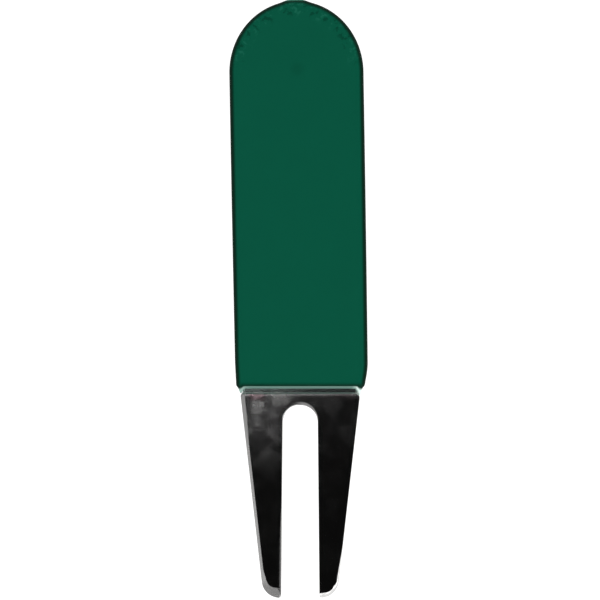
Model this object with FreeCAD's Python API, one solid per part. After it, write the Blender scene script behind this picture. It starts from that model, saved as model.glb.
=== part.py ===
"""Divot repair tool: a stamped steel fork whose flat tang is held in a moulded vinyl grip.

Frame, in millimetres: the tool lies on its back. +Y runs from the prong tips to the round end
of the grip, +Z is up out of the front face, and the origin is under the middle of the tool,
on the surface that the grip rests on. Lengths called FROM_TIPS are measured along +Y from the
line across the two prong tips.
"""

import FreeCAD
import Part
import math
import os

# Whole tool
TOOL_LENGTH = 82.55
GRIP_THICKNESS = 4.2

# Fork: one steel stamping, tumbled until its edges are round
STEEL_THICKNESS = 2.0
HEAD_END_FROM_TIPS = 28.4
HEAD_HALF_WIDTH = 8.29
HEAD_CORNER_RADIUS = 0.75
FORK_EDGE_RADIUS = 0.4

# Prongs: each ends in a curve from a point beside the slot round to its outer side
PRONG_HALF_WIDTH_AT_TIPS = 5.09
PRONG_END_SLOPE_DEG = 8.0
PRONG_END_RADIUS = 2.5
PRONG_POINT_RADIUS = 0.45

# Slot between the prongs, with a full round at its closed end
SLOT_END_FROM_TIPS = 26.6
SLOT_HALF_WIDTH_AT_END = 2.38
SLOT_HALF_WIDTH_AT_TIPS = 2.63

# Tang: coined thinner and cut narrower than the head, so that the grip stops at a shoulder
TANG_THICKNESS = 1.7
TANG_HALF_WIDTH = 7.9
TANG_END_HEIGHT = 8.75
TANG_EDGE_RADIUS = 0.25
TANG_LENGTH_IN_HEAD = 1.2

# Grip: a dip-moulded vinyl sleeve, closed at its round end and stretched over the tang
GRIP_MOUTH_FROM_TIPS = 28.9
GRIP_HALF_WIDTH = 9.25
GRIP_WAIST_HALF_WIDTH = 9.15
GRIP_MOUTH_HALF_WIDTH = 8.8
GRIP_TUCK_LENGTH = 3.6
GRIP_END_HEIGHT = 10.1
GRIP_END_WALL = 1.35
GRIP_EDGE_RADIUS = 1.0
GRIP_LIP_RADIUS = 0.45

TIPS_Y = -TOOL_LENGTH / 2
MIDDLE_Z = GRIP_THICKNESS / 2
UP = FreeCAD.Vector(0, 0, 1)
TOWARDS_TIPS = FreeCAD.Vector(0, -1, 0)
SAME = 1e-6


def at(x, from_tips):
    """A point on the floor, from its place across the tool and its distance from the tips."""
    return FreeCAD.Vector(x, TIPS_Y + from_tips, 0)


def mirrored(right_half):
    """The corners of the right half of an outline, followed by those of its left half."""
    return right_half + [(-x, y, radius) for x, y, radius in reversed(right_half)]


def line(start, end):
    """A straight edge between two points."""
    return Part.LineSegment(start, end).toShape()


def corner_arc(before, corner, after, radius):
    """The start, end and edge of the arc that rounds a corner between its two neighbours."""
    towards_before = (before - corner).normalize()
    towards_after = (after - corner).normalize()
    half_angle = towards_before.getAngle(towards_after) / 2
    reach = radius / math.tan(half_angle)
    start = corner + towards_before * reach
    end = corner + towards_after * reach
    inward = (towards_before + towards_after).normalize()
    middle = corner + inward * (radius / math.sin(half_angle) - radius)
    return start, end, Part.Arc(start, middle, end).toShape()


def tangent_arc(start, heading, end):
    """The arc that leaves start along a heading and runs to end, and its heading there."""
    chord = end - start
    along = (end - start).normalize()
    bulge = (heading - along * heading.dot(along)).normalize()
    turn = heading.getAngle(along)
    middle = start + chord / 2 + bulge * (chord.Length / 2 * math.tan(turn / 2))
    return Part.Arc(start, middle, end).toShape(), along * (2 * heading.dot(along)) - heading


def rounded_outline(corners):
    """A closed outline of straight runs joined by tangent arcs, from (x, from_tips, radius)."""
    points = [at(x, y) for x, y, radius in corners]
    count = len(points)
    rounds = []
    for i in range(count):
        radius = corners[i][2]
        rounds.append(corner_arc(points[i - 1], points[i], points[(i + 1) % count], radius))
    edges = []
    for i in range(count):
        run_start = rounds[i - 1][1]
        run_end, _, arc = rounds[i]
        if run_start.distanceToPoint(run_end) > SAME:
            edges.append(line(run_start, run_end))
        edges.append(arc)
    return edges


def round_end(half_width, height, end_from_tips):
    """The half ellipse over the end of a grip or tang, which is taller than it is half wide."""
    centre = at(0, end_from_tips - height)
    right_side = at(half_width, end_from_tips - height)
    left_side = at(-half_width, end_from_tips - height)
    ellipse = Part.Ellipse(at(0, end_from_tips), right_side, centre)
    right = ellipse.parameter(right_side)
    left = ellipse.parameter(left_side)
    middle = ellipse.parameter(at(0, end_from_tips))
    half = Part.ArcOfEllipse(ellipse, right, left).toShape()
    if half.BoundBox.YMax > ellipse.value(middle).y - SAME:
        return half
    return Part.ArcOfEllipse(ellipse, left, right).toShape()


def plate(edges, thickness):
    """A flat plate of the given outline, centred on the middle plane of the tool."""
    outline = Part.Wire(Part.__sortEdges__(edges))
    face = Part.Face(outline)
    face.translate(UP * (MIDDLE_Z - thickness / 2))
    return face.extrude(UP * thickness)


def face_edges(solid):
    """The edges round the front and back faces of a plate."""
    box = solid.BoundBox
    found = []
    for edge in solid.Edges:
        on_back = edge.BoundBox.ZMax < box.ZMin + SAME
        on_front = edge.BoundBox.ZMin > box.ZMax - SAME
        if on_back or on_front:
            found.append(edge)
    return found


def mouth_edges(solid):
    """The edges round the flat end of the grip that faces the prongs."""
    mouth_y = at(0, GRIP_MOUTH_FROM_TIPS).y
    found = []
    for edge in solid.Edges:
        if max(abs(edge.BoundBox.YMin - mouth_y), abs(edge.BoundBox.YMax - mouth_y)) < SAME:
            found.append(edge)
    return found


def fork_outline():
    """The head and prongs, as corners from the slot's closed end round to the shoulder."""
    slope = math.radians(PRONG_END_SLOPE_DEG)
    # Rounding the point lifts it, so its corner is lower by as much as the rounding takes away
    point_y = -PRONG_POINT_RADIUS * (math.tan(slope) + 1 / math.cos(slope) - 1)
    outer_x = PRONG_HALF_WIDTH_AT_TIPS
    outer_y = point_y + (outer_x - SLOT_HALF_WIDTH_AT_TIPS) * math.tan(slope)
    slot_widening = SLOT_HALF_WIDTH_AT_TIPS - SLOT_HALF_WIDTH_AT_END
    slot_taper = math.atan(slot_widening / (SLOT_END_FROM_TIPS - point_y))
    full_round = SLOT_HALF_WIDTH_AT_END * math.tan(math.pi / 4 + slot_taper / 2)
    right_half = [
        (SLOT_HALF_WIDTH_AT_END, SLOT_END_FROM_TIPS, full_round),
        (SLOT_HALF_WIDTH_AT_TIPS, point_y, PRONG_POINT_RADIUS),
        (outer_x, outer_y, PRONG_END_RADIUS),
        (HEAD_HALF_WIDTH, HEAD_END_FROM_TIPS, HEAD_CORNER_RADIUS),
    ]
    return rounded_outline(mirrored(right_half))


def tang():
    """The part of the stamping that the grip covers, with its root inside the head."""
    root = HEAD_END_FROM_TIPS - TANG_LENGTH_IN_HEAD
    end = TOOL_LENGTH - GRIP_END_WALL
    side_end = end - TANG_END_HEIGHT
    outline = [
        line(at(-TANG_HALF_WIDTH, root), at(TANG_HALF_WIDTH, root)),
        line(at(TANG_HALF_WIDTH, root), at(TANG_HALF_WIDTH, side_end)),
        round_end(TANG_HALF_WIDTH, TANG_END_HEIGHT, end),
        line(at(-TANG_HALF_WIDTH, side_end), at(-TANG_HALF_WIDTH, root)),
    ]
    solid = plate(outline, TANG_THICKNESS)
    return solid.makeFillet(TANG_EDGE_RADIUS, face_edges(solid))


def steel_fork():
    """The prongs, head and tang, which are one stamping."""
    head = plate(fork_outline(), STEEL_THICKNESS)
    head = head.makeFillet(FORK_EDGE_RADIUS, face_edges(head))
    return head.fuse(tang()).removeSplitter()


def grip_side(sign):
    """One long side of the grip: a slight taper to the waist, then the tuck-in to the mouth."""
    side_end = at(sign * GRIP_HALF_WIDTH, TOOL_LENGTH - GRIP_END_HEIGHT)
    waist = at(sign * GRIP_WAIST_HALF_WIDTH, GRIP_MOUTH_FROM_TIPS + GRIP_TUCK_LENGTH)
    mouth = at(sign * GRIP_MOUTH_HALF_WIDTH, GRIP_MOUTH_FROM_TIPS)
    taper, heading = tangent_arc(side_end, TOWARDS_TIPS, waist)
    tuck, heading = tangent_arc(waist, heading, mouth)
    return [taper, tuck]


def grip_sleeve():
    """The vinyl sleeve, solid but for the pocket that the tang fills."""
    mouth = line(
        at(-GRIP_MOUTH_HALF_WIDTH, GRIP_MOUTH_FROM_TIPS),
        at(GRIP_MOUTH_HALF_WIDTH, GRIP_MOUTH_FROM_TIPS),
    )
    end = round_end(GRIP_HALF_WIDTH, GRIP_END_HEIGHT, TOOL_LENGTH)
    solid = plate(grip_side(-1) + grip_side(1) + [mouth, end], GRIP_THICKNESS)
    long_edges = [edge for edge in face_edges(solid) if edge.BoundBox.YLength > SAME]
    solid = solid.makeFillet(GRIP_EDGE_RADIUS, long_edges)
    solid = solid.makeFillet(GRIP_LIP_RADIUS, mouth_edges(solid))
    return solid.cut(tang())


def main():
    """Build every sub-part and write it to parts/ as a STEP file."""
    os.makedirs("parts", exist_ok=True)
    for name, shape in (("steel_fork", steel_fork()), ("grip_sleeve", grip_sleeve())):
        print(name, shape.isValid(), len(shape.Solids), round(shape.Volume, 2), shape.BoundBox)
        shape.exportStep(f"parts/{name}.step")


main()
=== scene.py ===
"""Looks of the divot repair tool: a polished steel fork in a dip-moulded green vinyl grip.

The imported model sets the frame: +Y runs from the prong tips to the grip's round end, +Z is up
out of the front face, and the tool lies on its back on z = 0. Shapes are worked out here in
millimetres, and a mesh is put in metres when it is made. Places called from_tips are measured
along +Y from the line across the prong tips.
"""

import logging
import math
from dataclasses import dataclass, field
from enum import Enum
from typing import Any, Mapping, Sequence

import bmesh
import bpy
import numpy as np
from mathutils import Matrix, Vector


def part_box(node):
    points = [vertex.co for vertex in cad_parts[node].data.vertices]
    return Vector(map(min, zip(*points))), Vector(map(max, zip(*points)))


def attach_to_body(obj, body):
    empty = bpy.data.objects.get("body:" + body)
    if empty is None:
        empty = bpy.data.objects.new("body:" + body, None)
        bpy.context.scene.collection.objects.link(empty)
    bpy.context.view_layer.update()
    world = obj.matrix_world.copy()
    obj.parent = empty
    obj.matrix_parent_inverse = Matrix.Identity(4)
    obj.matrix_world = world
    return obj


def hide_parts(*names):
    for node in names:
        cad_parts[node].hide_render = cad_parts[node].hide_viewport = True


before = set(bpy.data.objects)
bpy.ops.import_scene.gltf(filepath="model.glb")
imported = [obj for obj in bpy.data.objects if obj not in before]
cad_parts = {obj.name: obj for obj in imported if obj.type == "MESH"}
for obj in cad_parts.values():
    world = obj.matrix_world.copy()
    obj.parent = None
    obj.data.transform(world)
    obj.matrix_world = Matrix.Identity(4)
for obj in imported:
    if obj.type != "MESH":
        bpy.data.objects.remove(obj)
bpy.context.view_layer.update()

LOG = logging.getLogger("divot_tool")
MM = 0.001
WELD_MM = 2e-4
SHARP_DEG = 40.0
BODY = "root"
Array = np.ndarray
Piece = bpy.types.Object
Rgb = tuple[float, float, float]
Knots = tuple[float, float, float, float]


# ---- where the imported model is


@dataclass(frozen=True)
class ToolPlace:
    """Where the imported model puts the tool, in millimetres: its end_y is the grip's round end."""

    tips_y: float
    tang_end_y: float
    mouth_y: float
    end_y: float
    grip_half_width: float
    grip_half_thickness: float
    steel_half_thickness: float
    middle_z: float

    @classmethod
    def measure(cls) -> "ToolPlace":
        """The place of the tool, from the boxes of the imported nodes."""
        fork_low, fork_high = (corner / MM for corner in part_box("steel_fork"))
        grip_low, grip_high = (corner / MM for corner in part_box("grip_sleeve"))
        return cls(
            tips_y=fork_low.y,
            tang_end_y=fork_high.y,
            mouth_y=grip_low.y,
            end_y=grip_high.y,
            grip_half_width=(grip_high.x - grip_low.x) / 2,
            grip_half_thickness=(grip_high.z - grip_low.z) / 2,
            steel_half_thickness=(fork_high.z - fork_low.z) / 2,
            middle_z=(grip_low.z + grip_high.z) / 2,
        )


# ---- shapes and meshes


def unit(vectors: Array) -> Array:
    """Vectors of length one that point the same ways."""
    return vectors / np.linalg.norm(vectors, axis=-1, keepdims=True)


def ease(values: Array) -> Array:
    """A smooth step: 0 up to 0, 1 from 1 on, and 3t^2 - 2t^3 in between."""
    t = np.clip(values, 0.0, 1.0)
    return t * t * (3 - 2 * t)


def rise(values: Array, low: float, high: float) -> Array:
    """A smooth step from 0 at low to 1 at high, where low may be the larger."""
    return ease((values - low) / (high - low))


@dataclass
class Surface:
    """Grids of points, and the values at them that the material reads, welded into one mesh."""

    name: str
    points: list[Array] = field(default_factory=list)
    quads: list[Array] = field(default_factory=list)
    values: dict[str, list[Array]] = field(default_factory=dict)
    count: int = 0

    def add(self, grid: Array, **values: Array) -> None:
        """Adds a grid: each cell between four neighbouring points becomes a face.

        Args:
            grid: points in millimetres, of shape (rows, columns, 3).
            values: named numbers that the material reads, each of shape (rows, columns).
        """
        rows, columns = grid.shape[:2]
        index = np.arange(rows * columns).reshape(rows, columns) + self.count
        corners = (index[:-1, :-1], index[:-1, 1:], index[1:, 1:], index[1:, :-1])
        self.quads.append(np.stack(corners, axis=-1).reshape(-1, 4))
        self.points.append(grid.reshape(-1, 3))
        for key, value in values.items():
            self.values.setdefault(key, []).append(np.broadcast_to(value, (rows, columns)).ravel())
        self.count += rows * columns

    def build(self, sharp_deg: float = SHARP_DEG) -> Piece:
        """The mesh at the origin, in metres, with its seams welded and its faces outwards.

        Args:
            sharp_deg: edges that turn by more than this are shaded as sharp.
        """
        mesh = bpy.data.meshes.new(self.name)
        points = np.concatenate(self.points) * MM
        mesh.from_pydata(points.tolist(), [], np.concatenate(self.quads).tolist())
        for key, parts in self.values.items():
            layer = mesh.attributes.new(key, "FLOAT", "POINT")
            layer.data.foreach_set("value", np.concatenate(parts).astype(np.float32))
        work = bmesh.new()
        work.from_mesh(mesh)
        bmesh.ops.remove_doubles(work, verts=work.verts, dist=WELD_MM * MM)
        bmesh.ops.recalc_face_normals(work, faces=work.faces)
        work.to_mesh(mesh)
        work.free()
        mesh.shade_smooth()
        mesh.set_sharp_from_angle(angle=math.radians(sharp_deg))
        piece = bpy.data.objects.new(self.name, mesh)
        bpy.context.scene.collection.objects.link(piece)
        return piece


@dataclass(frozen=True)
class RoundedPath:
    """An open path of straight runs joined by tangent arcs, sampled the same at any size.

    Attributes:
        run_fractions: for each run, how far along it each sample lies, from 0 up to below 1.
        arc_steps: for each arc, how many samples it has.
    """

    run_fractions: tuple[Array, ...]
    arc_steps: tuple[int, ...]

    def points(self, corners: Array, radii: Array) -> Array:
        """The samples of the path.

        Each arc touches both runs of its corner, so its centre is on the corner's bisector, at
        the radius over the sine of half the corner's angle. A point of the arc is the centre
        plus the radius times (cos, sin) of an angle that grows evenly from the first touch.

        Args:
            corners: the path's start, its corners and its end, of shape (n, 2).
            radii: the radius of each corner between the start and the end.

        Returns:
            Points of shape (samples, 2).
        """
        at = corners[1:-1]
        back = unit(corners[:-2] - at)
        on = unit(corners[2:] - at)
        half = np.arccos(np.clip((back * on).sum(axis=1), -1, 1)) / 2
        reach = (radii / np.tan(half))[:, None]
        touch_in = at + back * reach
        touch_out = at + on * reach
        centre = at + unit(back + on) * (radii / np.sin(half))[:, None]
        starts = np.vstack([corners[:1], touch_out])
        ends = np.vstack([touch_in, corners[-1:]])
        pieces = []
        for i, fractions in enumerate(self.run_fractions):
            pieces.append(starts[i] + (ends[i] - starts[i]) * fractions[:, None])
            if i < len(self.arc_steps):
                turned = np.arange(self.arc_steps[i])[:, None] / self.arc_steps[i]
                angle = turned * (math.pi - 2 * half[i])
                outward = (touch_in[i] - centre[i]) / radii[i]
                pieces.append(
                    centre[i] + radii[i] * (np.cos(angle) * outward - np.sin(angle) * back[i])
                )
        pieces.append(corners[-1:])
        return np.vstack(pieces)

    def run_places(self) -> Array:
        """For each sample, the number of the run it is on, going smoothly over on the arcs."""
        pieces = []
        for i, fractions in enumerate(self.run_fractions):
            pieces.append(np.full(len(fractions), float(i)))
            if i < len(self.arc_steps):
                pieces.append(i + ease(np.arange(self.arc_steps[i]) / self.arc_steps[i]))
        pieces.append(np.array([len(self.run_fractions) - 1.0]))
        return np.concatenate(pieces)


# ---- shader graphs


class Term:
    """A socket's value in a shader graph, which Python's operators work on."""

    def __init__(self, graph: "Graph", socket: bpy.types.NodeSocket) -> None:
        """Keeps the graph and the socket."""
        self.graph = graph
        self.socket = socket

    def _math(self, operation: str, *values: Any) -> "Term":
        """A Math node on this graph."""
        inputs = dict(enumerate(values))
        return self.graph.node("ShaderNodeMath", {"operation": operation}, inputs)

    def __add__(self, other: Any) -> "Term":
        """The sum."""
        return self._math("ADD", self, other)

    __radd__ = __add__

    def __sub__(self, other: Any) -> "Term":
        """The difference."""
        return self._math("SUBTRACT", self, other)

    def __rsub__(self, other: Any) -> "Term":
        """The difference, the other way round."""
        return self._math("SUBTRACT", other, self)

    def __mul__(self, other: Any) -> "Term":
        """The product."""
        return self._math("MULTIPLY", self, other)

    def __abs__(self) -> "Term":
        """The size without its sign."""
        return self._math("ABSOLUTE", self)

    def least(self, other: Any) -> "Term":
        """The smaller of two values."""
        return self._math("MINIMUM", self, other)

    def step(self, low: float, high: float) -> "Term":
        """A smooth step from 0 at low to 1 at high, where low may be the larger."""
        settings = {"interpolation_type": "SMOOTHSTEP"}
        inputs = {0: self, 1: low, 2: high, 3: 0.0, 4: 1.0}
        if low > high:
            inputs = {0: self, 1: high, 2: low, 3: 1.0, 4: 0.0}
        return self.graph.node("ShaderNodeMapRange", settings, inputs)


class Graph:
    """The node tree of one material or world."""

    def __init__(self, tree: bpy.types.NodeTree) -> None:
        """Empties the tree and keeps it."""
        self.tree = tree
        tree.nodes.clear()

    def node(
        self,
        kind: str,
        settings: Mapping[str, Any] | None = None,
        inputs: Mapping[Any, Any] | None = None,
        output: int | str = 0,
    ) -> Term:
        """Adds a node, and returns one of its outputs.

        Args:
            kind: the node's type.
            settings: its own properties, set before its sockets.
            inputs: the value or Term of each socket, by number or name.
            output: the output that is returned.
        """
        node = self.tree.nodes.new(kind)
        for key, value in (settings or {}).items():
            setattr(node, key, value)
        for key, value in (inputs or {}).items():
            if isinstance(value, Term):
                self.tree.links.new(value.socket, node.inputs[key])
            else:
                node.inputs[key].default_value = value
        return Term(self, node.outputs[output] if len(node.outputs) else None)

    def place(self) -> Term:
        """The point on the piece, in millimetres of the tool's frame."""
        place = self.node("ShaderNodeTexCoord", output="Object")
        inputs = {0: place, "Scale": 1 / MM}
        return self.node("ShaderNodeVectorMath", {"operation": "SCALE"}, inputs)

    def parts(self, place: Term) -> tuple[Term, Term, Term]:
        """The x, y and z of a place."""
        parts = self.node("ShaderNodeSeparateXYZ", None, {0: place})
        outputs = parts.socket.node.outputs
        return Term(self, outputs["X"]), Term(self, outputs["Y"]), Term(self, outputs["Z"])

    def distance(self, place: Term, point: Rgb) -> Term:
        """How far a place is from a point."""
        inputs = {0: place, 1: point}
        return self.node("ShaderNodeVectorMath", {"operation": "DISTANCE"}, inputs, output="Value")

    def attribute(self, name: str) -> Term:
        """A number kept on the piece's points."""
        return self.node("ShaderNodeAttribute", {"attribute_name": name}, output="Fac")

    def stretched(self, place: Term, scale: Rgb) -> Term:
        """The place with each of its axes scaled."""
        return self.node("ShaderNodeVectorMath", {"operation": "MULTIPLY"}, {0: place, 1: scale})

    def noise(self, place: Term, per_mm: float, detail: float = 3.0, rough: float = 0.5) -> Term:
        """Cloudy noise about 0.5, with a given number of lumps in each millimetre."""
        inputs = {"Vector": place, "Scale": per_mm, "Detail": detail, "Roughness": rough}
        return self.node("ShaderNodeTexNoise", {"noise_dimensions": "3D"}, inputs)

    def mix(self, factor: Any, first: Any, second: Any) -> Term:
        """A colour between two."""
        settings = {"data_type": "RGBA", "clamp_factor": True}
        inputs = {0: factor, 6: self.colour(first), 7: self.colour(second)}
        return self.node("ShaderNodeMix", settings, inputs, output=2)

    @staticmethod
    def colour(value: Any) -> Any:
        """A colour with its alpha, or the Term as it is."""
        return value if isinstance(value, Term) else (*value, 1.0)

    def bump(self, height: Term, millimetres: float, before: Term | None = None) -> Term:
        """A normal that shows a height of so many millimetres."""
        inputs: dict[str, Any] = {"Height": height, "Strength": 1.0, "Distance": millimetres * MM}
        if before is not None:
            inputs["Normal"] = before
        return self.node("ShaderNodeBump", None, inputs)


def new_material(name: str) -> tuple[bpy.types.Material, Graph]:
    """A material with an empty graph."""
    material = bpy.data.materials.new(name)
    material.use_nodes = True
    return material, Graph(material.node_tree)


def finish_graph(graph: Graph, sockets: Mapping[str, Any]) -> None:
    """Ends a graph in a Principled shader with the given sockets."""
    shader = graph.node("ShaderNodeBsdfPrincipled", None, sockets)
    graph.node("ShaderNodeOutputMaterial", None, {"Surface": shader})


# ---- finishes


@dataclass(frozen=True)
class PolishedSteel:
    """Tumble-polished plated steel: clear near the tips and hazy towards the left shoulder.

    Attributes:
        tint: its colour.
        warm_tint: the colour of the faint stains beside the shoulder.
        gap_tint: its greener colour in the gap under the grip's lip.
        head_end: how far from the tips that gap begins.
        clear_roughness: its roughness where it is clear.
        shoulder_haze: the roughness added by the left shoulder.
        cloud_haze: the same in its clouds.
        collar_haze: the same along the shoulder.
        gap_haze: the same at the right end of the gap.
        hairline_haze: the same along its hairlines.
        ground_roughness: the roughness of its ground bevels.
        ground_spread: how far that varies.
        hairline_mm: the height of its hairlines.
        cloud_mm: the height of the waves in its polish.
    """

    tint: Rgb = (0.56, 0.555, 0.55)
    warm_tint: Rgb = (0.62, 0.41, 0.46)
    gap_tint: Rgb = (0.46, 0.55, 0.52)
    head_end: float = 28.4
    clear_roughness: float = 0.09
    shoulder_haze: float = 0.115
    cloud_haze: float = 0.085
    collar_haze: float = 0.05
    gap_haze: float = 0.06
    hairline_haze: float = 0.02
    ground_roughness: float = 0.24
    ground_spread: float = 0.2
    hairline_mm: float = 0.0005
    cloud_mm: float = 0.02

    def material(self, place: ToolPlace) -> bpy.types.Material:
        """Builds the steel, for the tool's place."""
        material, graph = new_material("polished_steel")
        at = graph.place()
        across, along, _ = graph.parts(at)
        from_tips = along - place.tips_y
        clouds = graph.noise(at, 0.38)
        blotches = graph.noise(at, 0.8, detail=2.0)
        hairlines = graph.noise(graph.stretched(at, (6.0, 0.3, 6.0)), 1.0, detail=2.0)
        leftness = across.step(3.5, -6.5)
        on_head = from_tips.step(self.head_end + 0.06, self.head_end)
        upper = from_tips.step(15.0, 29.0) * (leftness * 0.8 + 0.2)
        collar = from_tips.step(self.head_end - 1.2, self.head_end - 0.2)
        cloudy = clouds.step(0.46, 0.6) + blotches.step(0.5, 0.7) * 0.6
        haze = upper.least(0.62) * self.shoulder_haze + collar * self.collar_haze
        haze = haze + cloudy * (upper + 0.2) * self.cloud_haze
        haze = haze * on_head + (1 - on_head) * (leftness * 0.6 + 1) * self.gap_haze
        roughness = self.clear_roughness + haze + hairlines.step(0.58, 0.75) * self.hairline_haze
        ground_more = self.ground_roughness - self.clear_roughness
        ground_more = ground_more + (blotches - 0.5) * self.ground_spread
        roughness = roughness + graph.attribute("ground") * ground_more
        tint = graph.mix(self.stain(across, from_tips, leftness), self.tint, self.warm_tint)
        tint = graph.mix(1 - on_head, tint, self.gap_tint)
        normal = graph.bump(hairlines, self.hairline_mm)
        normal = graph.bump(clouds, self.cloud_mm, normal)
        sockets = {"Base Color": tint, "Metallic": 1.0, "Roughness": roughness, "Normal": normal}
        finish_graph(graph, sockets)
        return material

    def stain(self, across: Term, from_tips: Term, leftness: Term) -> Term:
        """How stained each point is: a patch by each end of the shoulder, more on the left."""
        side = abs(across)
        beside = side.step(4.4, 5.4) * side.step(7.4, 6.8)
        below = from_tips.step(self.head_end - 1.3, self.head_end - 0.8)
        above = from_tips.step(self.head_end - 0.15, self.head_end - 0.4)
        return beside * below * above * (leftness * 0.55 + 0.2)


@dataclass(frozen=True)
class DippedVinyl:
    """Dark green dip-moulded vinyl: satin, with painted shade where its edges and mouth turn away
    and a painted highlight on its cut lip.

    Attributes:
        face: the colour of its faces.
        edge: the painted shade where its edges and its mouth turn away; its dark flecks and the
            mould's mark take this colour too.
        lip: the colour of the cut lip, painted pale as a highlight.
        thin_lip: the paler painted highlight on the lip round the head's corners.
        fleck: the colour of the flecks that the mould leaves round the closed end.
        nib: the paler colour of the nib at the very end, a painted highlight.
        shade_spread: the share by which the colour of its faces varies.
        roughness: how rough it is.
        roughness_spread: how far its roughness varies.
        specular: the level of its gloss, where 0.5 is plain plastic's.
        mark_across: where across the tool the faint mark of the mould is.
        mark_from_tips: where along the tool it is.
        mark_radius: how large that mark is.
        mark_strength: how much darker it is.
    """

    face: Rgb = (0.002, 0.079, 0.044)
    edge: Rgb = (0.0, 0.011, 0.005)
    lip: Rgb = (0.16, 0.28, 0.24)
    thin_lip: Rgb = (0.80, 0.98, 0.90)
    fleck: Rgb = (0.012, 0.135, 0.085)
    nib: Rgb = (0.055, 0.20, 0.14)
    shade_spread: float = 0.07
    roughness: float = 0.55
    roughness_spread: float = 0.16
    specular: float = 0.03
    mark_across: float = -0.4
    mark_from_tips: float = 72.8
    mark_radius: float = 1.4
    mark_strength: float = 0.12

    def material(self, place: ToolPlace) -> bpy.types.Material:
        """Builds the vinyl, for the tool's place."""
        material, graph = new_material("green_vinyl")
        at = graph.place()
        mottle = graph.noise(at, 0.22)
        specks = graph.noise(at, 2.4, detail=4.0, rough=0.65)
        peel = graph.noise(at, 5.0, detail=2.0)
        flecks = graph.noise(at, 1.1, rough=0.6)
        shade = 0.5 + (mottle - 0.5) * 0.5 + (specks - 0.5) * 0.5
        darker = tuple((1 - self.shade_spread) * part for part in self.face)
        paler = tuple((1 + self.shade_spread) * part for part in self.face)
        colour = graph.mix(shade, darker, paler)
        end_zone = graph.attribute("end_zone")
        colour = graph.mix(end_zone * flecks.step(0.57, 0.65) * 0.5, colour, self.fleck)
        colour = graph.mix(end_zone * flecks.step(0.44, 0.37) * 0.4, colour, self.edge)
        centre = (self.mark_across, place.tips_y + self.mark_from_tips, 2 * place.middle_z)
        mark = graph.distance(at, centre).step(self.mark_radius, 0.2 * self.mark_radius)
        colour = graph.mix(mark * self.mark_strength, colour, self.edge)
        # Painted shade: darker where the edges and the mouth turn away from the light.
        colour = graph.mix(graph.attribute("edge"), colour, self.edge)
        # Painted highlight: the nib is made paler.
        colour = graph.mix(graph.attribute("nib"), colour, self.nib)
        # Painted highlight: the cut lip is made pale, paler still round the head's corners.
        lip = graph.mix(graph.attribute("thin"), self.lip, self.thin_lip)
        colour = graph.mix(graph.attribute("lip"), colour, lip)
        roughness = self.roughness + (specks - 0.5) * self.roughness_spread
        normal = graph.bump(peel, 0.006)
        normal = graph.bump(mottle, 0.05, normal)
        normal = graph.bump(flecks * end_zone, 0.03, normal)
        finish_graph(
            graph,
            {
                "Base Color": colour,
                "Roughness": roughness,
                "Normal": normal,
                "Specular IOR Level": self.specular,
            },
        )
        return material


@dataclass(frozen=True)
class PaleFloor:
    """The plain white studio floor, which glows so that it stays white all over."""

    tint: Rgb = (0.35, 0.35, 0.35)
    roughness: float = 0.9
    glow: float = 0.92

    def material(self) -> bpy.types.Material:
        """Builds the floor's material."""
        material, graph = new_material("pale_floor")
        finish_graph(
            graph,
            {
                "Base Color": (*self.tint, 1.0),
                "Roughness": self.roughness,
                "Emission Color": (1.0, 1.0, 1.0, 1.0),
                "Emission Strength": self.glow,
            },
        )
        return material


# ---- the steel fork


class Run(Enum):
    """The straight runs of half the fork's outline, from the slot's top to the shoulder."""

    SLOT_TOP = 0
    SLOT_SIDE = 1
    PRONG_END = 2
    OUTER_SIDE = 3
    SHOULDER = 4


@dataclass(frozen=True)
class EdgeBreak:
    """How an edge of the steel is broken.

    Attributes:
        across: how far the break reaches over the face, in millimetres.
        down: how far it reaches down the wall.
        flatness: 0 for a round from tumbling, 1 for a flat bevel from grinding.
    """

    across: float
    down: float
    flatness: float = 0.0


@dataclass(frozen=True)
class WornStretch:
    """A stretch of an edge whose break is larger than on the rest of its run.

    Attributes:
        run: the run that it is on.
        none_at: how far from the tips the wear begins.
        full_at: how far from the tips it is whole.
        across: how much further the break reaches over the face, in millimetres.
        down: how much further it reaches down the wall.
    """

    run: Run
    none_at: float
    full_at: float
    across: float
    down: float = 0.0

    def share(self, places: Array, from_tips: Array) -> Array:
        """How worn each sample is, from 0 to 1, fading out over the arcs at the run's ends."""
        on_run = rise(np.abs(places - self.run.value), 1.0, 0.0)
        return on_run * rise(from_tips, self.none_at, self.full_at)


@dataclass(frozen=True)
class ProngEdges:
    """The edge breaks of each run of half the fork, and the rounding of its head's corner."""

    slot: EdgeBreak
    end: EdgeBreak
    side: EdgeBreak
    corner_radius: float
    worn: tuple[WornStretch, ...] = ()
    slot_top: EdgeBreak = EdgeBreak(0.5, 0.2, 0.6)
    shoulder: EdgeBreak = EdgeBreak(0.4, 0.25, 0.3)

    def by_run(self, name: str) -> Array:
        """One of the numbers of an edge break, at each run."""
        breaks = (self.slot_top, self.slot, self.end, self.side, self.shoulder)
        return np.array([getattr(edge, name) for edge in breaks])


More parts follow.
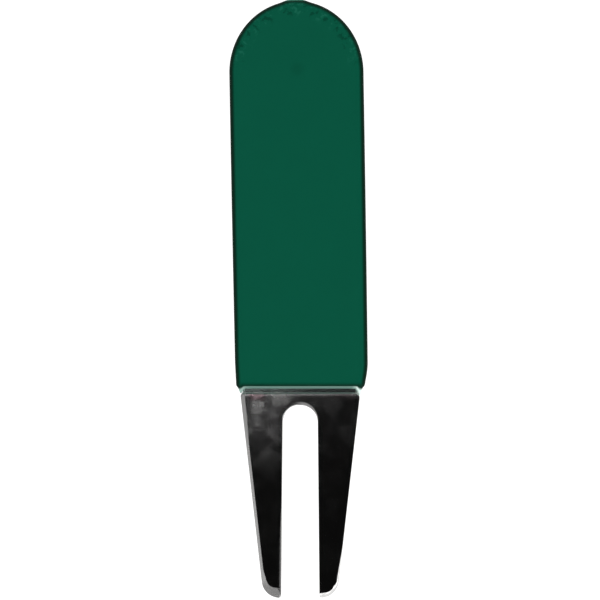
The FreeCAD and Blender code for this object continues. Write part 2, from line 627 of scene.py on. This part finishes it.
@dataclass(frozen=True)
class SteelFork:
    """The stamped fork: head, two prongs and the tang that the grip covers.

    Its head_end and slot_end are measured from the tips. Each prong's end slopes up from a
    point beside the slot, and is rounded into its outer side.
    """

    place: ToolPlace
    head_end: float = 28.4
    head_half_width: float = 8.29
    prong_half_width_at_tips: float = 5.09
    prong_end_slope_deg: float = 8.0
    prong_end_radius: float = 2.5
    prong_point_radius: float = 0.4
    slot_end: float = 26.6
    slot_half_width_at_end: float = 2.38
    slot_half_width_at_tips: float = 2.63
    tang_half_thickness: float = 0.85
    tang_half_width: float = 7.9
    tang_end_height: float = 8.75
    tang_edge_radius: float = 0.25
    tang_length_in_head: float = 1.2
    left: ProngEdges = ProngEdges(
        slot=EdgeBreak(0.08, 0.16, 0.4),
        end=EdgeBreak(1.4, 0.5, 0.85),
        side=EdgeBreak(0.39, 0.15, 1.0),
        corner_radius=0.55,
        worn=(
            WornStretch(Run.SLOT_SIDE, 13.5, 4.5, 0.42),
            WornStretch(Run.OUTER_SIDE, 21.0, 26.0, 0.15),
            WornStretch(Run.OUTER_SIDE, 3.1, 2.4, 0.2, 0.08),
        ),
    )
    right: ProngEdges = ProngEdges(
        slot=EdgeBreak(0.03, 0.08),
        end=EdgeBreak(0.75, 0.66, 0.75),
        side=EdgeBreak(0.05, 0.1),
        corner_radius=0.75,
        worn=(WornStretch(Run.OUTER_SIDE, 7.5, 1.5, 0.45, 0.44),),
    )
    levels: int = 14
    face_rows: int = 10
    tang_steps: int = 40

    def path(self) -> RoundedPath:
        """How half the outline is sampled.

        The slot has as many samples as the prong's end, side and shoulder together, so that the
        face between them is one grid. Beside the prong's end they are closer.
        """
        point_arc, end_run, end_arc, side, shoulder_arc, shoulder = 8, 3, 20, 44, 10, 20
        tip_share = 0.88
        slot_side = np.concatenate([
            np.linspace(0, tip_share, side, endpoint=False),
            np.linspace(tip_share, 1, end_run + end_arc, endpoint=False),
        ])
        even = [np.arange(count) / count for count in (end_run, side, shoulder)]
        return RoundedPath(
            run_fractions=(np.empty(0), slot_side, even[0], even[1], even[2]),
            arc_steps=(shoulder_arc + shoulder, point_arc, end_arc, shoulder_arc),
        )

    def outline(self, inset: Array, corner_radius: float) -> Array:
        """Half the outline, from the slot's top to the middle of the shoulder, moved inwards.

        Each run is moved into the steel by its own inset, and its corners are where moved runs
        meet: normal . point = normal . corner + inset for both of them. Corners of the steel
        lose the inset from their radius. The slot's end stays a full round.

        Args:
            inset: how far each run is moved.
            corner_radius: the rounding of the head's corner.

        Returns:
            Points of shape (samples, 2), with y from the tips.
        """
        slope = math.radians(self.prong_end_slope_deg)
        point_y = -self.prong_point_radius * (math.tan(slope) + 1 / math.cos(slope) - 1)
        outer_x = self.prong_half_width_at_tips
        outer_y = point_y + (outer_x - self.slot_half_width_at_tips) * math.tan(slope)
        corners = np.array([
            (0.0, self.slot_end),
            (self.slot_half_width_at_end, self.slot_end),
            (self.slot_half_width_at_tips, point_y),
            (outer_x, outer_y),
            (self.head_half_width, self.head_end),
            (0.0, self.head_end),
        ])
        along = unit(np.diff(corners, axis=0))
        normals = np.stack([-along[:, 1], along[:, 0]], axis=1)
        reach = (normals * corners[:-1]).sum(axis=1) + inset
        pairs = np.stack([normals[:-1], normals[1:]], axis=1)
        met = np.linalg.solve(pairs, np.stack([reach[:-1], reach[1:]], axis=1)[..., None])[..., 0]
        start = np.array([[0.0, self.slot_end + inset[Run.SLOT_TOP.value]]])
        end = np.array([[0.0, self.head_end - inset[Run.SHOULDER.value]]])
        least = 0.05
        lost = (inset[1:-1] + inset[2:]) / 2
        drawn = np.array([self.prong_point_radius, self.prong_end_radius, corner_radius])
        slot_angle = math.acos(float(np.dot(-along[0], along[1])))
        full_round = met[0, 0] * math.tan(slot_angle / 2)
        radii = np.concatenate([[full_round], np.maximum(drawn - lost, least)])
        return self.path().points(np.vstack([start, met, end]), radii)

    def half(self, edges: ProngEdges) -> tuple[Array, Array]:
        """The broken edge round half the head, at all its levels.

        Over a quarter turn a round edge goes (1 - sin) of its reach across and (1 - cos) of its
        reach down, and a bevel goes evenly. Flatness mixes the two.

        Args:
            edges: the edge breaks of this half.

        Returns:
            Points of shape (levels + 1, samples, 3), with z from the steel's middle, and how
            much of each is ground bevel. The first level is a line just inside the break.
        """
        support = 0.03
        across, down, flatness = (edges.by_run(name) for name in ("across", "down", "flatness"))
        places = self.path().run_places()
        runs = np.arange(len(Run))
        whole = self.outline(np.zeros(len(Run)), edges.corner_radius)
        inwards = unit(np.gradient(whole, axis=0))[:, ::-1] * (-1.0, 1.0)
        worn = [(part, part.share(places, whole[:, 1])) for part in edges.worn]
        more_across = sum(part.across * share for part, share in worn)
        more_down = sum(part.down * share for part, share in worn)
        rings = []
        ground = []
        for part in np.concatenate([[-1.0], np.linspace(0, 1, self.levels)]):
            level = max(part, 0.0)
            turn = level * math.pi / 2
            left_over = (1 - flatness) * (1 - math.sin(turn)) + flatness * (1 - level)
            gone = (1 - flatness) * (1 - math.cos(turn)) + flatness * level
            inset = across * left_over + (support if part < 0 else 0.0)
            moved = more_across * np.interp(places, runs, left_over)
            outline = self.outline(inset, edges.corner_radius) + inwards * moved[:, None]
            fallen = np.interp(places, runs, down * gone)
            fallen = fallen + more_down * np.interp(places, runs, gone)
            height = self.place.steel_half_thickness - fallen
            rings.append(np.column_stack([outline, height]))
            bevelled = 1.0 if 0 <= part < 1 else 0.0
            ground.append(np.interp(places, runs, flatness) * bevelled)
        return np.stack(rings), np.stack(ground)

    def head(self) -> Piece:
        """The head and prongs as one closed mesh.

        A face is a grid of straight lines from the slot's side of the outline to its outer
        side, split at the prong's point.
        """
        surface = Surface("steel_fork_head")
        for edges, side in ((self.left, -1.0), (self.right, 1.0)):
            rings, ground = self.half(edges)
            rings = self.in_frame(rings, side)
            mirrored = self.flipped(rings)
            surface.add(np.concatenate([rings, mirrored[::-1]]),
                        ground=np.concatenate([ground, ground[::-1]]))
            middle = (rings.shape[1] - 1) // 2
            part = np.linspace(0, 1, self.face_rows + 1)[:, None, None]
            for ring in (rings[0], mirrored[0]):
                slot_side = ring[middle::-1]
                outer_side = ring[middle:]
                face = slot_side + (outer_side - slot_side) * part
                surface.add(face, ground=np.zeros(face.shape[:2]))
        return surface.build()

    def in_frame(self, points: Array, side: float) -> Array:
        """Points put on one side of the tool, from the tips and the steel's middle."""
        return points * (side, 1.0, 1.0) + (0.0, self.place.tips_y, self.place.middle_z)

    def flipped(self, points: Array) -> Array:
        """The same points on the other face of the tool."""
        return points * (1.0, 1.0, -1.0) + (0.0, 0.0, 2 * self.place.middle_z)

    def tang_shape(self, gap: float = 0.0) -> "Paddle":
        """The tang's shape, or with a gap the shape of the pocket round it."""
        return Paddle(
            half_width=self.tang_half_width + gap,
            half_thickness=self.tang_half_thickness + gap,
            edge_radius=self.tang_edge_radius,
            end_y=self.place.tang_end_y + gap,
            end_height=self.tang_end_height,
            middle_z=self.place.middle_z,
        )

    def tang(self) -> Piece:
        """The tang as one closed mesh, with its root inside the head."""
        root_y = self.place.tips_y + self.head_end - self.tang_length_in_head
        paddle = self.tang_shape()
        side_y = np.linspace(root_y, paddle.side_end_y, self.tang_steps, endpoint=False)
        surface = Surface("steel_fork_tang")
        for side in (-1.0, 1.0):
            grid = paddle.grid(side_y) * (side, 1.0, 1.0)
            closed = np.concatenate([grid[:1] * (0.0, 1.0, 1.0), grid])
            surface.add(closed, ground=np.zeros(closed.shape[:2]))
        return surface.build()

    def build(self, finish: PolishedSteel) -> Piece:
        """Makes the fork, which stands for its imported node, in the given finish."""
        fork = self.head()
        tang = self.tang()
        union = fork.modifiers.new("union", "BOOLEAN")
        union.operation = "UNION"
        union.solver = "EXACT"
        union.object = tang
        joined = bpy.data.meshes.new_from_object(
            fork.evaluated_get(bpy.context.evaluated_depsgraph_get())
        )
        joined.set_sharp_from_angle(angle=math.radians(SHARP_DEG))
        fork.modifiers.clear()
        fork.data = joined
        bpy.data.objects.remove(tang)
        fork.name = "fork"
        joined.materials.clear()
        joined.materials.append(finish.material(self.place))
        return attach(fork, "steel_fork")


# ---- the vinyl grip


@dataclass(frozen=True)
class Paddle:
    """A flat bar with rounded edges that a half ellipse closes: the tang, or the grip.

    Attributes:
        half_width: half its width where the half ellipse begins.
        half_thickness: half its thickness.
        edge_radius: the rounding of its edges.
        end_y: the top of the half ellipse.
        end_height: the height of the half ellipse.
        middle_z: the height of its middle plane.
        crown: how much lower a face is at its edge than at its middle.
        face_rows: rows from the middle of a face to where its edge begins to turn.
        turn_rows: rows over the rounding of an edge.
        end_steps: samples round half of the end.
    """

    half_width: float
    half_thickness: float
    edge_radius: float
    end_y: float
    end_height: float
    middle_z: float
    crown: float = 0.0
    face_rows: int = 14
    turn_rows: int = 14
    end_steps: int = 48

    @property
    def side_end_y(self) -> float:
        """Where the straight side ends and the half ellipse begins."""
        return self.end_y - self.end_height

    def rows(self) -> tuple[Array, Array, Array, Array]:
        """What each row from the middle of the front round to the middle of the back is.

        Returns:
            For each row: its share of the face's half width, the share of the edge radius that
            it is inside the outline, the share that it is below the face, and +1 or -1 for
            front or back.
        """
        beside_edge = 0.985
        over_face = np.append(np.linspace(0, beside_edge, self.face_rows), 1.0)
        turn = np.linspace(0, math.pi / 2, self.turn_rows)[1:]
        share = np.concatenate([over_face, np.ones(len(turn))])
        inside = np.concatenate([np.ones(len(over_face)), 1 - np.sin(turn)])
        below = np.concatenate([np.zeros(len(over_face)), 1 - np.cos(turn)])
        front = np.ones(len(share))
        share, inside, below = (np.append(row, row[::-1]) for row in (share, inside, below))
        return share, inside, below, np.append(front, -front)

    def grid(self, side_y: Array, narrowing: Array | None = None) -> Array:
        """The right half of the surface, from the open end to the top of the round end.

        On the side the outline is (half width, y). On the end it is (half width * cos t,
        side end + end height * sin t), with its normal along (cos t / half width,
        sin t / end height). A row is inside the outline by its share of the edge radius.

        Args:
            side_y: the samples along the straight side.
            narrowing: how much narrower than the half width it is at each of them.

        Returns:
            Points of shape (samples, rows, 3).
        """
        slim = np.zeros(len(side_y)) if narrowing is None else narrowing
        angle = np.linspace(0, math.pi / 2, self.end_steps + 1)
        x = np.concatenate([self.half_width - slim, self.half_width * np.cos(angle)])
        y = np.concatenate([side_y, self.side_end_y + self.end_height * np.sin(angle)])
        normal = unit(np.column_stack([
            np.concatenate([np.ones(len(side_y)), np.cos(angle) / self.half_width]),
            np.concatenate([np.zeros(len(side_y)), np.sin(angle) / self.end_height]),
        ]))
        x[-1] = 0.0
        normal[-1] = (0.0, 1.0)
        share, inside, below, face = self.rows()
        inset = inside * self.edge_radius
        height = self.half_thickness - below * self.edge_radius - self.crown * share**2
        return np.stack([
            share * (x[:, None] - normal[:, :1] * inset),
            y[:, None] - normal[:, 1:] * inset,
            np.broadcast_to(self.middle_z + face * height, (len(x), len(share))),
        ], axis=-1)


@dataclass(frozen=True)
class GripSleeve:
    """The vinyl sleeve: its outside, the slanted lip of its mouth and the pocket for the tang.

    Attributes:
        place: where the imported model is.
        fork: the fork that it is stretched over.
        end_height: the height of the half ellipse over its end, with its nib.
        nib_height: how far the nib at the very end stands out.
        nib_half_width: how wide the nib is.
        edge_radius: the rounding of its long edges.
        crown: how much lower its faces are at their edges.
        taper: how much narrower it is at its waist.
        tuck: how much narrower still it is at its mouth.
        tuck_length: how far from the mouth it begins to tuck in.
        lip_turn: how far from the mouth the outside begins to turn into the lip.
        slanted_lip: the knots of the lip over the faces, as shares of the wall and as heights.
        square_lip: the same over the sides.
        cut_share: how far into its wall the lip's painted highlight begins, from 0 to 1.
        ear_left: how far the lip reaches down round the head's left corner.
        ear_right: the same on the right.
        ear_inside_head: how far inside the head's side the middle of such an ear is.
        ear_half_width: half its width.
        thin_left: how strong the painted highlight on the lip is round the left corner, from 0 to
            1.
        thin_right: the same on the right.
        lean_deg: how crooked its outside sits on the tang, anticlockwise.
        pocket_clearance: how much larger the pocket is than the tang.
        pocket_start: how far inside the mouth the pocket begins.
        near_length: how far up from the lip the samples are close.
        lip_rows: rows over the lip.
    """

    place: ToolPlace
    fork: SteelFork
    end_height: float = 10.1
    nib_height: float = 0.24
    nib_half_width: float = 1.7
    edge_radius: float = 1.0
    crown: float = 0.04
    taper: float = 0.1
    tuck: float = 0.35
    tuck_length: float = 3.6
    lip_turn: float = 0.95
    slanted_lip: tuple[Knots, Knots] = ((0.0, 0.0, 0.12, 1.0), (lip_turn, 0.62, 0.42, 0.0))
    square_lip: tuple[Knots, Knots] = ((0.0, 0.0, 0.3, 1.0), (lip_turn, 0.25, -0.02, 0.0))
    cut_share: float = 0.36
    ear_left: float = 0.66
    ear_right: float = 0.95
    ear_inside_head: float = 0.08
    ear_half_width: float = 0.36
    thin_left: float = 0.24
    thin_right: float = 1.0
    lean_deg: float = 0.98
    pocket_clearance: float = 0.01
    pocket_start: float = 0.06
    near_length: float = 4.0
    lip_rows: int = 24

    def outside(self) -> Paddle:
        """The sleeve's outside, without its nib."""
        return Paddle(
            half_width=self.place.grip_half_width,
            half_thickness=self.place.grip_half_thickness,
            edge_radius=self.edge_radius,
            end_y=self.place.end_y - self.nib_height,
            end_height=self.end_height - self.nib_height,
            middle_z=self.place.middle_z,
            crown=self.crown,
        )

    def half(self) -> tuple[Array, Array, dict[str, Array]]:
        """The right half of the sleeve: pocket, lip and outside as one grid.

        The lip joins the outside to the pocket's mouth along a cubic Bezier curve in (share of
        the wall, height above the mouth). Over the faces it slants in from well above the
        mouth, and over the sides it turns a nearly square corner.

        Returns:
            Points of shape (samples, rows, 3), how far into the wall each is, from 0 on the
            outside to 1 in the pocket, and the numbers that the material reads.
        """
        outside = self.outside()
        pocket = self.fork.tang_shape(self.pocket_clearance)
        mouth = self.place.mouth_y
        near_steps, far_steps, pocket_steps = 20, 50, 40
        start = mouth + self.lip_turn
        near = start + self.near_length * (np.arange(near_steps) / near_steps) ** 1.5
        far = np.linspace(start + self.near_length, outside.side_end_y, far_steps, endpoint=False)
        side_y = np.concatenate([near, far])
        below_waist = np.clip(1 - (side_y - mouth) / self.tuck_length, 0, 1)
        run = (outside.side_end_y - side_y) / (outside.side_end_y - mouth - self.tuck_length)
        outer = outside.grid(side_y, self.taper * run**2 + self.tuck * below_waist**1.5)
        outer[..., 1] += self.nib(outer)
        pocket_y = mouth + self.pocket_start
        inner = pocket.grid(np.linspace(pocket_y, pocket.side_end_y, pocket_steps, endpoint=False))
        t = np.linspace(0, 1, self.lip_rows + 1)[1:][:, None]
        _, on_face, _, _ = outside.rows()
        share, height = (
            bezier(t, slanted) * on_face + bezier(t, square) * (1 - on_face)
            for slanted, square in zip(self.slanted_lip, self.square_lip)
        )
        lip = outer[:1] + (inner[:1] - outer[:1]) * share[..., None]
        lip[..., 1] = mouth + height
        points = np.concatenate([inner[::-1], lip[::-1], outer])
        into = np.concatenate([np.ones(inner.shape[:2]), share[::-1], np.zeros(outer.shape[:2])])
        values = {
            "lip": rise(into, self.cut_share - 0.05, self.cut_share + 0.05),
            "edge": self.edge_shade_zone(points),
            "end_zone": self.end_zone(points),
            "nib": self.nib_highlight_zone(points),
        }
        return points, into, values

    def nib(self, points: Array) -> Array:
        """How far the nib carries each point: a flat-topped bell curve across the very end."""
        at_end = rise(points[..., 1] - self.place.end_y, -2.2, -0.2)
        return self.nib_height * np.exp(-((points[..., 0] / self.nib_half_width) ** 4)) * at_end

    def nib_highlight_zone(self, points: Array) -> Array:
        """How far each point is in the nib's painted highlight, from 0 to 1: only at the very end.
        """
        on_end = rise(points[..., 1] - self.place.end_y, -0.42, -0.18)
        return np.exp(-((points[..., 0] / (1.25 * self.nib_half_width)) ** 4)) * on_end

    def edge_shade_zone(self, points: Array) -> Array:
        """How much painted shade each point takes where an edge or the mouth turns away, from 0 to
        1.
        """
        _, inside, _, _ = self.outside().rows()
        most_shade_at_edge, most_shade_at_mouth = 0.95, 0.8
        shade_over_edge = most_shade_at_edge * rise(inside, 0.78, 0.32)
        shade_by_mouth = most_shade_at_mouth * rise(points[..., 1] - self.place.mouth_y, 1.06, 0.36)
        return np.maximum(shade_over_edge[None, :], shade_by_mouth)

    def end_zone(self, points: Array) -> Array:
        """How far each point is in the band just inside the round end's edge, from 0 to 1.

        The spread of a point is (x / half width)^2 + (height / end height)^2, which is 1 on the
        outline. The band comes in from 0.55 to 0.7 and goes out from 0.94 to 1.
        """
        outside = self.outside()
        height = np.maximum(points[..., 1] - outside.side_end_y, 0.0)
        spread = (points[..., 0] / outside.half_width) ** 2 + (height / outside.end_height) ** 2
        return rise(spread, 0.55, 0.7) * rise(spread, 1.0, 0.94) * rise(height, 0.0, 3.0)

    def ear(self, points: Array, into: Array) -> Array:
        """How much each point belongs to the ear of the lip at the head's corner, from 0 to 1.

        It is a bell curve about the head's side, only well into the wall, and it fades along
        the sleeve.
        """
        middle = self.fork.head_half_width - self.ear_inside_head
        bell = np.exp(-(((points[..., 0] - middle) / self.ear_half_width) ** 2))
        fading = rise(points[..., 1] - self.place.mouth_y, 1.6, 0.0)
        return bell * rise(into, 0.2, 0.6) * fading

    def crooked(self, points: Array, into: Array) -> Array:
        """The points with the outside turned a little about the tool's middle.

        A point moves across by -y * sin(lean), less so beside the mouth, where the head holds
        it, and along by x * sin(lean), which grows from none at the mouth to all at the end.
        Inside the wall the turn fades, so that the pocket stays on the tang.
        """
        slope = math.sin(math.radians(self.lean_deg)) * (1 - into)
        along = points[..., 1] - self.place.mouth_y
        length = self.place.end_y - self.place.mouth_y
        turned = points.copy()
        turned[..., 0] -= points[..., 1] * slope * rise(along, -0.5, 3.5)
        turned[..., 1] += points[..., 0] * slope * rise(along, 0.0, length)
        return turned

    def build(self, finish: DippedVinyl) -> Piece:
        """Makes the sleeve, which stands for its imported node, in the given finish."""
        surface = Surface("grip")
        points, into, values = self.half()
        ear = self.ear(points, into)
        # Painted highlight on the lip, growing towards the head's corners and far stronger on the
        # right.
        thin = rise(points[..., 0] - self.fork.head_half_width, -0.85, -0.4)
        for side, reach, thinness in (
            (-1.0, self.ear_left, self.thin_left),
            (1.0, self.ear_right, self.thin_right),
        ):
            half = points * (side, 1.0, 1.0)
            half[..., 1] -= reach * ear
            surface.add(self.crooked(half, into), thin=thin * thinness, **values)
        grip = surface.build()
        grip.data.materials.append(finish.material(self.place))
        return attach(grip, "grip_sleeve")


def bezier(t: Array, knots: Sequence[float]) -> Array:
    """A cubic Bezier curve's value, from its four knots."""
    a, b, c, d = knots
    return a * (1 - t) ** 3 + 3 * b * t * (1 - t) ** 2 + 3 * c * t**2 * (1 - t) + d * t**3


def attach(piece: Piece, node: str) -> Piece:
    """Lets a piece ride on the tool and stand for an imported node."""
    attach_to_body(piece, BODY)
    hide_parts(node)
    return piece


# ---- the studio


@dataclass(frozen=True)
class SoftBox:
    """A soft light that faces the tool.

    Attributes:
        name: its name.
        bearing_deg: which way it stands, anticlockwise from +X seen from above.
        height_deg: how high it stands above the floor, seen from the tool.
        distance: how far away it is, in metres.
        width: its size along the floor, in metres.
        depth: its other size.
        radiance: how bright its face is.
        mirrored: whether glossy surfaces mirror it.
    """

    name: str
    bearing_deg: float
    height_deg: float
    distance: float
    width: float
    depth: float
    radiance: float
    mirrored: bool = True

    def build(self) -> None:
        """Makes the light. Its power is pi times its area times its radiance."""
        lamp = bpy.data.lights.new(self.name, "AREA")
        lamp.shape = "RECTANGLE"
        lamp.size = self.width
        lamp.size_y = self.depth
        lamp.energy = math.pi * self.width * self.depth * self.radiance
        light = bpy.data.objects.new(self.name, lamp)
        bpy.context.scene.collection.objects.link(light)
        bearing, height = math.radians(self.bearing_deg), math.radians(self.height_deg)
        away = Vector((
            math.cos(bearing) * math.cos(height),
            math.sin(bearing) * math.cos(height),
            math.sin(height),
        ))
        light.location = away * self.distance
        light.rotation_euler = away.to_track_quat("Z", "Y").to_euler()
        light.visible_glossy = self.mirrored


@dataclass(frozen=True)
class Studio:
    """The cove, the lights, the dim ceiling and the camera that looks straight down.

    The cove's sizes are in metres. The camera sees framed_mm across, at the tool.
    """

    boxes: tuple[SoftBox, ...] = (
        SoftBox("left_box", 180, 42, 0.8, 0.8, 0.56, 0.31),
        SoftBox("top_box", 90, 41, 0.8, 0.6, 0.6, 0.13),
        SoftBox("right_box", 0, 42, 0.8, 0.5, 0.56, 0.3),
        SoftBox("front_left_box", -128, 43, 0.8, 0.9, 0.68, 0.4),
        SoftBox("low_right_box", -50, 20, 0.8, 0.95, 0.42, 1.5),
        SoftBox("haze_box", 135, 77, 0.8, 0.2, 0.2, 3.3),
        SoftBox("overhead_fill", 90, 90, 1.5, 1.2, 1.2, 3.7, mirrored=False),
    )
    ceiling: Rgb = (0.004, 0.004, 0.004)
    cove_flat_radius: float = 2.0
    cove_turn_radius: float = 1.0
    cove_height: float = 1.25
    lens_mm: float = 120.0
    sensor_mm: float = 36.0
    framed_mm: float = 82.82
    target_mm: Rgb = (-0.04, -0.17, 2.6)

    def build(self) -> None:
        """Makes everything in the studio."""
        self.cove()
        for box in self.boxes:
            box.build()
        self.world()
        self.camera()
        bpy.context.scene.view_settings.view_transform = "Standard"

    def cove(self) -> None:
        """Makes the floor and the low wall, whose profile is turned about +Z.

        It is flat to the flat radius, then a quarter circle up, then straight.
        """
        turn_steps, round_steps = 16, 96
        turn = np.linspace(0, math.pi / 2, turn_steps + 1)
        curve = self.cove_flat_radius + self.cove_turn_radius * np.sin(turn)
        lift = self.cove_turn_radius * (1 - np.cos(turn))
        radius = np.concatenate([[0.0], curve, curve[-1:]])[:, None]
        height = np.concatenate([[0.0], lift, [self.cove_height]])[:, None]
        angle = np.linspace(0, 2 * math.pi, round_steps + 1)[None, :]
        grid = np.stack([radius * np.cos(angle), radius * np.sin(angle),
                         np.broadcast_to(height, (len(height), angle.size))], axis=-1)
        surface = Surface("cove")
        surface.add(grid / MM)
        nowhere_sharp = 180.0
        cove = surface.build(nowhere_sharp)
        cove.data.flip_normals()
        cove.data.materials.append(PaleFloor().material())

    def world(self) -> None:
        """Makes the ceiling a dim, even grey."""
        world = bpy.data.worlds.new("room")
        world.use_nodes = True
        graph = Graph(world.node_tree)
        room = graph.node("ShaderNodeBackground", None, {"Color": (*self.ceiling, 1.0)})
        graph.node("ShaderNodeOutputWorld", None, {"Surface": room})
        bpy.context.scene.world = world

    def camera(self) -> None:
        """Puts the camera above the tool, so that the frame is framed_mm wide at the tool."""
        data = bpy.data.cameras.new("camera")
        data.lens = self.lens_mm
        data.sensor_width = self.sensor_mm
        camera = bpy.data.objects.new("camera", data)
        distance = self.framed_mm * self.lens_mm / self.sensor_mm
        camera.location = (Vector(self.target_mm) + Vector((0, 0, distance))) * MM
        data.clip_start = 0.01
        bpy.context.scene.collection.objects.link(camera)
        bpy.context.scene.camera = camera


def main() -> None:
    """Builds the studio and the tool, and reports each piece."""
    logging.basicConfig(level=logging.INFO, format="%(name)s: %(message)s")
    place = ToolPlace.measure()
    Studio().build()
    fork = SteelFork(place)
    pieces = (
        fork.build(PolishedSteel()),
        GripSleeve(place, fork).build(DippedVinyl()),
    )
    for piece in pieces:
        LOG.info("%s: %d faces", piece.name, len(piece.data.polygons))


if __name__ == "__main__":
    main()
